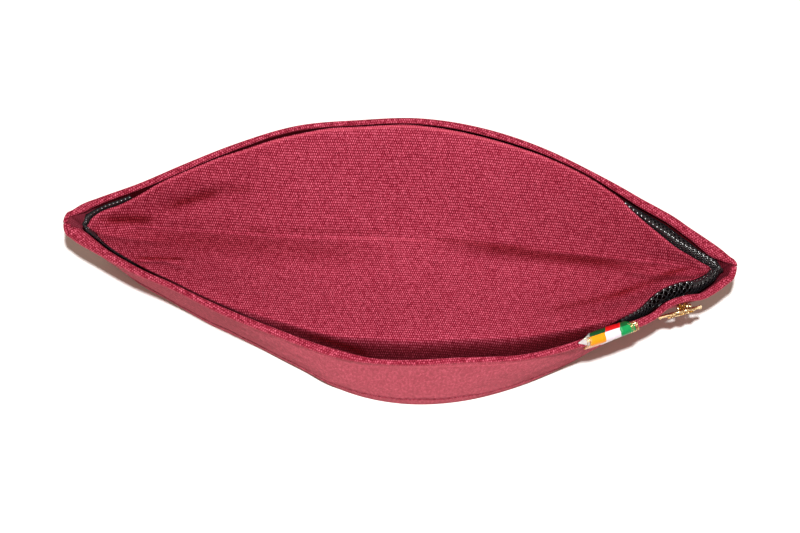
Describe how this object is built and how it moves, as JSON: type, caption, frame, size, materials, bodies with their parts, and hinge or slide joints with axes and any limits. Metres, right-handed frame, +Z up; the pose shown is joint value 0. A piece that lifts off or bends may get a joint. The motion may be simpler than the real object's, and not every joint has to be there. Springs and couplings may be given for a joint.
{
  "type": "boat-shaped hill cap with flower brooch",
  "caption": "Boat-shaped cloth cap with a valley-folded crown inside a turned-up band, net at the tips, a striped ribbon and a flower brooch; open below for the head.",
  "frame": {"origin": "middle of the cap's box on the surface that it rests on", "axes": "+Z up, +X towards the cap's front tip, -Y towards the wearer's right side, which carries the ribbon and the brooch"},
  "size_m": [0.2694, 0.1116, 0.0799],
  "materials": {
    "twill_band": "maroon wool-look twill, matt with a soft pale sheen at grazing angles",
    "twill_crown": "maroon wool-look twill, matt",
    "black_net": "stiff black nylon net, glossy strands",
    "striped_satin": "satin ribbon in orange, white, green and red blocks with gold thread at its ends",
    "gilt_brass": "polished gilt"
  },
  "bodies": {
    "root": {"band_left": "twill_band", "band_right": "twill_band", "crown": "twill_crown", "net_front": "black_net", "net_back": "black_net", "ribbon": "striped_satin", "brooch": "gilt_brass"}
  },
  "joints": []
}
